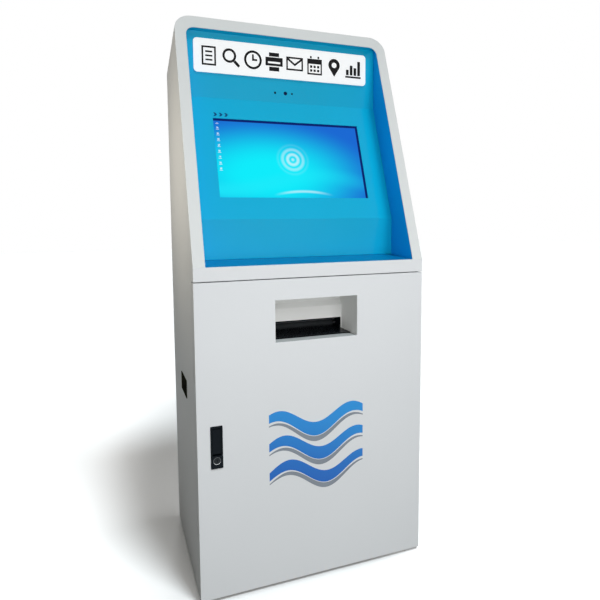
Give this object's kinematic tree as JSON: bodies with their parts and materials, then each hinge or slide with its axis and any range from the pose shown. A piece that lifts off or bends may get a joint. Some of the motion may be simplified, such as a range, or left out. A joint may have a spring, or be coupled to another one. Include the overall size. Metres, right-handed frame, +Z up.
{
  "type": "self-service kiosk",
  "caption": "Free-standing self-service kiosk: white sheet-metal cabinet, leaning head with a touch display in a blue recess, lockable front door with a paper outlet.",
  "frame": {"origin": "on the floor under the middle of the cabinet", "axes": "+Z up, the front with the door and the display faces -Y, +X to the right seen from the front"},
  "size_m": [0.603, 0.409, 1.4387],
  "materials": {
    "white_paint": "semi-gloss off-white powder coat",
    "blue_paint": "glossy sky-blue coat",
    "title_white": "glossy white plate",
    "screen_glass": "lit touch screen under glass",
    "display_grey": "dark grey casing",
    "black_plastic": "black moulded plastic",
    "lens_black": "dark glossy lens",
    "bare_steel": "bare steel",
    "galvanised": "galvanised sheet",
    "chrome_plate": "bright plated metal",
    "dark_paint": "dark grey coat",
    "foot_rubber": "black rubber",
    "roller_rubber": "dark grey rubber on a steel shaft",
    "white_nylon": "natural nylon",
    "roll_paper": "white thermal paper"
  },
  "bodies": {
    "cabinet": {"left_side_panel": "white_paint", "right_side_panel": "white_paint", "head_cap": "white_paint", "screen_bezel": "white_paint", "blue_fascia": "blue_paint", "left_cheek": "blue_paint", "right_cheek": "blue_paint", "recess_floor": "blue_paint", "title_plate": "title_white", "touch_glass": "screen_glass", "lcd_panel": "display_grey", "monitor_housing": "display_grey", "monitor_brackets": "galvanised", "webcam_body": "black_plastic", "webcam_lens": "lens_black", "rear_panel": "white_paint", "rear_screws": "bare_steel", "base_plate": "galvanised", "feet": "foot_rubber", "left_jamb": "white_paint", "right_jamb": "white_paint", "door_header": "white_paint", "door_sill": "white_paint", "upper_hinge_plate": "bare_steel", "lower_hinge_plate": "white_paint", "pivot_washer": "white_nylon", "left_grip": "black_plastic", "right_grip": "black_plastic", "printer_shelf": "galvanised", "shelf_brackets": "galvanised", "printer_base": "bare_steel", "printer_left_plate": "bare_steel", "printer_right_plate": "bare_steel", "printer_cover": "dark_paint", "print_head": "dark_paint", "feed_motor": "dark_paint", "computer_tray": "dark_paint", "computer_lid": "dark_paint", "power_supply": "galvanised", "power_inlet": "black_plastic", "fan_frame": "black_plastic"},
    "door": {"door_skin": "white_paint", "door_stiffeners": "galvanised", "outlet_chute": "white_paint", "outlet_tray": "black_plastic", "pivot_pins": "bare_steel", "pivot_blocks": "galvanised", "lock_housing": "black_plastic", "lock_clamp": "galvanised", "handle_pin": "bare_steel"},
    "handle": {"lock_handle": "black_plastic"},
    "button": {"lock_button": "chrome_plate"},
    "key": {"key_cylinder": "chrome_plate", "lock_cam": "bare_steel"},
    "fan_wheel": {"fan_rotor": "black_plastic"},
    "rocker": {"power_rocker": "black_plastic"},
    "platen": {"platen_roller": "roller_rubber"},
    "roll": {"paper_roll": "roll_paper", "roll_spindle": "bare_steel"},
    "pc_button": {"computer_button": "chrome_plate"}
  },
  "joints": [
    {"name": "door_swing", "type": "hinge", "parent": "cabinet", "child": "door", "pos_m": [0.291, -0.19, 0.405], "axis": [0, 0, 1], "range_deg": [0, 105]},
    {"name": "handle_pull", "type": "hinge", "parent": "door", "child": "handle", "pos_m": [-0.2545, -0.198, 0.424], "axis": [-1, 0, 0], "range_deg": [0, 35]},
    {"name": "button_press", "type": "slide", "parent": "door", "child": "button", "axis": [0, 1, 0], "range_m": [0, 0.003], "stiffness_N_per_m": 400},
    {"name": "key_turn", "type": "hinge", "parent": "button", "child": "key", "pos_m": [-0.2545, -0.2025, 0.352], "axis": [0, 1, 0], "range_deg": [0, 90]},
    {"name": "fan_spin", "type": "hinge", "parent": "cabinet", "child": "fan_wheel", "pos_m": [0, 0.1875, 1.155], "axis": [0, 1, 0], "continuous": true},
    {"name": "rocker_tilt", "type": "hinge", "parent": "cabinet", "child": "rocker", "pos_m": [-0.183, 0.1995, 0.125], "axis": [-1, 0, 0], "range_deg": [0, 12]},
    {"name": "roll_spin", "type": "hinge", "parent": "cabinet", "child": "roll", "pos_m": [0, 0.0275, 0.576], "axis": [1, 0, 0], "continuous": true},
    {"name": "platen_spin", "type": "hinge", "parent": "cabinet", "child": "platen", "pos_m": [0, -0.0485, 0.626], "axis": [1, 0, 0], "continuous": true},
    {"name": "pc_button_press", "type": "slide", "parent": "cabinet", "child": "pc_button", "axis": [0, 1, 0], "range_m": [0, 0.002], "stiffness_N_per_m": 400}
  ],
  "couplings": [
    {"joint": "platen_spin", "follows": "roll_spin", "ratio": 4.2}
  ]
}
